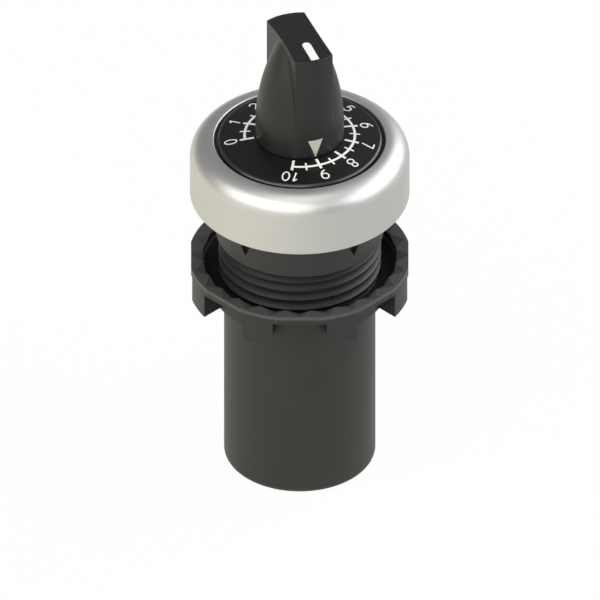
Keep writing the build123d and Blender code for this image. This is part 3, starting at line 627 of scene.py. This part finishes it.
# Front body: flange, collar with its two keying notches, real thread, and the spigot in the tube
barrel = {
    "collarR": 11.13, "collarEnd": -6.0, "crest": 10.78, "root": 9.95, "threadEnd": -15.8,
    "pitch": 1.5, "threadPhase": 0.05, "notchW": 1.8, "notchLen": 4.35, "notchFlat": 10.53,
    "notchMiddle": -45.0, "notchSpread": 40.5, "tipHalf": 0.02, "rounding": 0.06,
    "inside": [
        (9.95, -15.8), (8.78, -15.8), (8.78, -19.8), (8.1, -19.8), (8.1, -8.0), (3.55, -8.0),
        (3.55, -6.0), (8.2, -6.0), (8.2, 3.0), (9.2, 3.0), (9.2, 7.75), (11.2, 7.75), (11.2, 3.3),
        (13.4, 3.3), (13.4, 1.3), (10.9, 1.3), (10.9, 0),
    ],
}
fullHalf = np.degrees(np.arcsin(barrel["notchW"] / 2 / barrel["collarR"]))
firstEdge = barrel["notchMiddle"] - 2 * barrel["notchSpread"]

# columns of the sector round a notch, from -1 to 1, with a double column at each edge of the notch
edgeShare = 0.2
inside = np.linspace(-edgeShare, edgeShare, 9)
outside = np.linspace(edgeShare, 1, 25)
sector = np.concatenate([-outside[::-1], inside, outside])
inNotch = np.concatenate([np.zeros(25, bool), np.ones(9, bool), np.zeros(25, bool)])
plainAngles = np.linspace(firstEdge + 4 * barrel["notchSpread"], firstEdge + 360, 120)


# angles of all columns when the notches are halfW degrees wide to each side: their edges lie at
# halfW, and the columns between are spread evenly
def columnAngles(halfW):
    size = np.abs(sector)
    beyond = halfW + (barrel["notchSpread"] - halfW) * (size - edgeShare) / (1 - edgeShare)
    local = np.sign(sector) * np.where(size <= edgeShare, halfW * size / edgeShare, beyond)
    middles = [barrel["notchMiddle"] + turn * barrel["notchSpread"] for turn in (-1, 1)]
    return local, np.concatenate([local + middle for middle in middles] + [plainAngles])


# one row round the barrel, lowered to the notches' flat floors by depth, 0 to 1
def barrelRow(radius, height, halfW=fullHalf, depth=0.0):
    local, angles = columnAngles(halfW)
    floor = np.minimum(radius, barrel["notchFlat"] / np.cos(np.radians(local)))
    wall = np.where(inNotch, radius + depth * (floor - radius), radius)
    wall = np.concatenate([wall, wall, np.full(len(plainAngles), radius)])
    angles = np.radians(angles)
    return np.stack([wall * np.cos(angles), wall * np.sin(angles), height + 0 * angles], -1)


shoulderZ = -(barrel["notchLen"] - barrel["notchW"] / 2 * sqrt(3))
collar = [barrelRow(barrel["collarR"], 0, fullHalf, 1.0)]
for share in np.linspace(0, 1, 12):
    z = shoulderZ - share * (barrel["notchLen"] + shoulderZ)
    halfW = max(fullHalf * (1 - share), barrel["tipHalf"])
    collar.append(barrelRow(barrel["collarR"], z, halfW, 1.0 if share < 1 else 0.0))
collar.append(barrelRow(barrel["collarR"], barrel["collarEnd"] + 1))
for drop in (1.6, 1.0):
    collar.append(barrelRow(barrel["collarR"], barrel["collarEnd"] + drop * barrel["rounding"]))
for turn in np.radians([30, 60, 90]):
    inward = barrel["rounding"] * (1 - cos(turn))
    above = barrel["rounding"] * (1 - sin(turn))
    collar.append(barrelRow(barrel["collarR"] - inward, barrel["collarEnd"] + above))
collar.append(barrelRow(barrel["root"], barrel["collarEnd"]))
collar = np.stack(collar)

# The thread is its section carried along a right-handed helix: z = start + pitch * turns. The
# section's points are (share of the pitch, share of the depth). Rows past either end of the thread
# are held in the end plane at the root.
profile = np.array([
    (0.00, 0), (0.10, 0), (0.15, 0.06), (0.40, 0.90), (0.45, 1.0), (0.60, 1.0), (0.65, 0.90),
    (0.90, 0.06), (0.95, 0),
])
columnAngle = columnAngles(fullHalf)[1]
columnTurn = (columnAngle - firstEdge) / 360
turns = int(np.ceil((barrel["collarEnd"] - barrel["threadEnd"]) / barrel["pitch"])) + 1
along = (np.arange(-1, turns)[:, None] + profile[:, 0]).ravel()
rise = np.tile(profile[:, 1], turns + 1)
z = barrel["threadEnd"] + barrel["pitch"] * (along[:, None] + columnTurn + barrel["threadPhase"])
held = (z <= barrel["threadEnd"]) | (z >= barrel["collarEnd"])
z = np.clip(z, barrel["threadEnd"], barrel["collarEnd"])
radius = barrel["root"] + (barrel["crest"] - barrel["root"]) * np.where(held, 0, rise[:, None])
columnAngle = np.radians(columnAngle)
thread = np.stack([radius * np.cos(columnAngle), radius * np.sin(columnAngle), z], -1)

# everything else of the body is plain turning, on the same columns
plain = np.stack([barrelRow(radius, height) for radius, height in barrel["inside"]])
joint = np.stack([plain[-1], collar[0]])


# the body's plastic: fine on the collar, grainier on the thread with painted shade, matt at roots
def bodyPlastic():
    finish = Finish("bodyBlack", Specular_IOR_Level=0.62, IOR=1.5)
    ridges = finish.between(
        finish.height(), 1, 0, barrel["collarEnd"] - 0.05, barrel["collarEnd"] + 0.05
    )
    fine = finish.clouds(0.16, 3.0, 0.6)
    collarTone = finish.blend(fine, rgb(0.0135, 0.0132, 0.0125), rgb(0.0216, 0.0211, 0.02))
    crest = finish.between(finish.radius(), 0, 1, barrel["root"] + 0.1, barrel["crest"] - 0.1)
    # painted shade: the thread's tone is darker than the collar's, and near black at the roots of
    # its grooves
    threadShadedTone = finish.blend(fine, rgb(0.003, 0.003, 0.0033), rgb(0.012, 0.012, 0.0132))
    ridgeToneWithRootShade = finish.blend(crest, rgb(0.001, 0.001, 0.001), threadShadedTone)
    finish.feed("Base Color", finish.blend(ridges, collarTone, ridgeToneWithRootShade))
    finish.feed("Roughness", finish.between(fine, 0.39, 0.51) - ridges * (crest * 0.49 - 0.4))
    finish.relief(fine * (ridges * 0.034 + 0.012))
    return finish.material


piece = gridMesh("frontBody", collar, thread, plain, joint)
dress(piece, "housing", "body_plastic", bodyPlastic(), "front_body")
print("front body made")


# Housing tube behind the panel
tube = {
    "radius": 10.03, "bore": 8.83, "mouth": 7.9, "top": -15.8, "end": -42.0, "ledge": -34.2,
    "edge": 1.0,
}
section = roundedSection(
    [
        (tube["radius"], tube["end"], tube["edge"]),
        (tube["radius"], tube["top"], 0.12),
        (tube["bore"], tube["top"], 0),
        (tube["bore"], tube["ledge"], 0),
        (tube["mouth"], tube["ledge"], 0),
        (tube["mouth"], tube["end"], 0.3),
    ],
    steps=10,
)
tubeBlack = mouldedPlastic(
    "tubeBlack", (0.0145, 0.0140, 0.0118), 1.3, 0.45, grain=0.14, height=0.003, specular=0.55
)
piece = gridMesh("housingTube", turnedGrid(section, 224))
dress(piece, "housing", "body_plastic", tubeBlack, "housing_tube")
print("tube made")


# CAD nodes that keep their shape

# The nut's plastic: inside the recess its colour falls to near black as painted shade, and its
# gloss falls away there too; it is paler on the teeth, down to their roots, as painted light.
nut = {"recess": 12.7, "floor": -12.4, "roots": -10.75}


def nutPlastic():
    finish = Finish("nutBlack", Specular_IOR_Level=0.4, IOR=1.5)
    height = finish.height()
    within = finish.between(finish.radius(), 1, 0, nut["recess"] - 0.1, nut["recess"] + 0.1)
    recessShadeAndMatt = within * finish.between(height, 0, 1, nut["floor"] - 0.05, nut["floor"] + 0.05)
    teethPaintedLight = finish.between(height, 0, 1, nut["roots"] - 0.05, nut["roots"] + 0.15)
    fine = finish.clouds(0.12, 3.0, 0.6)
    tone = finish.between(fine, 0.0, 1.0)
    face = finish.blend(tone, rgb(0.019, 0.0186, 0.0173), rgb(0.028, 0.027, 0.0255))
    # painted light: the teeth at the nut's top are paler than the rest
    face = finish.blend(teethPaintedLight, face, rgb(0.074, 0.073, 0.070))
    # painted shade: near black inside the recess
    finish.feed("Base Color", finish.blend(recessShadeAndMatt, face, rgb(0.002, 0.002, 0.002)))
    finish.feed("Roughness", finish.between(fine, 0.36, 0.46) + recessShadeAndMatt * 0.5)
    finish.relief(fine * 0.004, 1.0, 0.08)
    return finish.material


repaint(nutPlastic(), "mounting_nut")
rubber = mouldedPlastic(
    "gasketRubber", (0.012, 0.012, 0.012), 1.5, 0.75, grain=0.05, height=0.003, edge=0.1
)
repaint(rubber, "panel_gasket", "shaft_seal")
bushAcetal = mouldedPlastic("bushAcetal", (0.62, 0.60, 0.53), 1.08, 0.4, height=0.002, edge=0.05)
repaint(bushAcetal, "guide_bush")
rotorNylon = mouldedPlastic("rotorNylon", (0.55, 0.53, 0.45), 1.1, 0.45, height=0.003, edge=0.05)
repaint(rotorNylon, "rotor")
baseBlack = mouldedPlastic("baseBlack", (0.02, 0.02, 0.019), 1.4, 0.5, height=0.005, edge=0.08)
repaint(baseBlack, "terminal_base")
waferBrown = mouldedPlastic("waferBrown", (0.20, 0.095, 0.035), 1.3, 0.55, grain=0.2)
repaint(waferBrown, "track_wafer")
trackCarbon = mouldedPlastic(
    "trackCarbon", (0.010, 0.010, 0.011), 1.6, 0.5, grain=0.05, height=0.002
)
repaint(trackCarbon, "resistive_track")
leadSleeve = mouldedPlastic("leadSleeve", (0.22, 0.03, 0.02), 1.2, 0.4, grain=0.2, height=0.003)
repaint(leadSleeve, "lead_start", "lead_wiper", "lead_end")
platedSteel = wornMetal("platedSteel", (0.62, 0.63, 0.62), (0.50, 0.51, 0.50), 0.32)
repaint(platedSteel, "seal_washer", "pot_front_plate", "bushing_nut", "pot_can", "saddle_washers")
springSteel = wornMetal("springSteel", (0.45, 0.45, 0.46), (0.33, 0.33, 0.35), 0.3)
repaint(springSteel, "lock_washer", "shaft_spring_clip", "shaft_retaining_ring")
turnedBrass = wornMetal("turnedBrass", (0.74, 0.55, 0.24), (0.60, 0.42, 0.17), 0.3, (12, 12, 1))
repaint(turnedBrass, "shaft", "pot_bushing")
pressedBrass = wornMetal("pressedBrass", (0.74, 0.56, 0.26), (0.58, 0.42, 0.18), 0.34)
repaint(pressedBrass, "terminal_start", "terminal_wiper", "terminal_end")
wiperBronze = wornMetal("wiperBronze", (0.72, 0.47, 0.27), (0.60, 0.36, 0.20), 0.3)
repaint(wiperBronze, "wiper")
silverInk = wornMetal("silverInk", (0.75, 0.75, 0.72), (0.62, 0.62, 0.60), 0.45)
repaint(silverInk, "collector_ring")
tinnedLug = wornMetal("tinnedLug", (0.70, 0.70, 0.68), (0.55, 0.55, 0.54), 0.38)
repaint(tinnedLug, "lug_start", "lug_wiper", "lug_end")
screwSteel = wornMetal("screwSteel", (0.60, 0.60, 0.58), (0.44, 0.44, 0.43), 0.3, (12, 1, 1))
repaint(screwSteel, "terminal_screws")
print("CAD nodes repainted")


# Floor, world and lamps. The floor is white to the camera, and to glossy rays it glows as a sheet,
# warm and bright on the left and cooler and darker on the right: a painted reflection.
stand = {
    "floorZ": -42.02, "size": 4.0, "white": 0.97, "paper": (0.86, 0.86, 0.85), "sheetEdge": 0.07,
    "warm": (0.92, 0.89, 0.80), "cool": (0.63, 0.655, 0.63), "sky": (0.93, 0.95, 1.0),
    "skyStrength": 0.24,
}
floorMesh = bpy.data.meshes.new("floor")
s = stand["size"]
z = stand["floorZ"] * mm
floorMesh.from_pydata([(-s, -s, z), (s, -s, z), (s, s, z), (-s, s, z)], [], [(0, 1, 2, 3)])
floor = bpy.data.objects.new("floor", floorMesh)
bpy.context.scene.collection.objects.link(floor)
paper = Finish("paper", Roughness=0.9, Specular_IOR_Level=0.0, Base_Color=rgb(*stand["paper"]))
path = paper.node("ShaderNodeLightPath")
place = paper.node("ShaderNodeSeparateXYZ", {}, {"Vector": paper.place()})
across = place["X"] * rightward.x + place["Y"] * rightward.y
toRight = paper.between(across, 0, 1, -stand["sheetEdge"], stand["sheetEdge"])
# the glow that glossy rays see is a painted reflection: warm on the left, cool on the right
glossyGlowSheet = paper.blend(toRight, rgb(*stand["warm"]), rgb(*stand["cool"]))
shown = paper.blend(path["Is Glossy Ray"], rgb(1, 1, 1), glossyGlowSheet)
seen = path["Is Camera Ray"] * stand["white"] + path["Is Glossy Ray"]
glow = paper.node("ShaderNodeEmission", {}, {"Color": shown, "Strength": 1.0})["Emission"]
matt = Value(paper, paper.shader.outputs["BSDF"])
mixed = paper.node("ShaderNodeMixShader", {}, {0: seen, 1: matt, 2: glow})["Shader"]
paper.tree.links.new(mixed.socket, paper.tree.nodes["Material Output"].inputs["Surface"])
floorMesh.materials.append(paper.material)

world = bpy.data.worlds.new("studio")
bpy.context.scene.world = world
world.use_nodes = True
background = world.node_tree.nodes["Background"]
background.inputs["Color"].default_value = rgb(*stand["sky"])
background.inputs["Strength"].default_value = stand["skyStrength"]


# a soft lamp of a width and height, placed by azimuth and elevation and facing the object
def softLamp(name, azimuth, elevation, distance, width, height, power, colour):
    lamp = bpy.data.lights.new(name, "AREA")
    lamp.shape, lamp.size, lamp.size_y = "RECTANGLE", width, height
    lamp.energy, lamp.color = power, colour
    light = bpy.data.objects.new(name, lamp)
    a, e = radians(azimuth), radians(elevation)
    outward = Vector((cos(e) * cos(a), cos(e) * sin(a), sin(e)))
    light.location = outward * distance
    light.rotation_mode = "QUATERNION"
    light.rotation_quaternion = outward.to_track_quat("Z", "Y")
    bpy.context.scene.collection.objects.link(light)


# azimuth and elevation in degrees, distance, width and height in metres, power in watts, colour
lamps = {
    "keyLeft": (-80, 33, 0.6, 1.1, 0.55, 4.0, (1.0, 0.98, 0.94)),
    "top": (-45, 80, 0.6, 0.35, 0.35, 0.5, (1, 1, 1)),
    "sideRight": (56, 30, 0.6, 1.2, 0.5, 4.3, (0.93, 0.96, 1.0)),
}
for name, setting in lamps.items():
    softLamp(name, *setting)
print("studio lit")

bpy.context.scene.view_settings.view_transform = "Standard"
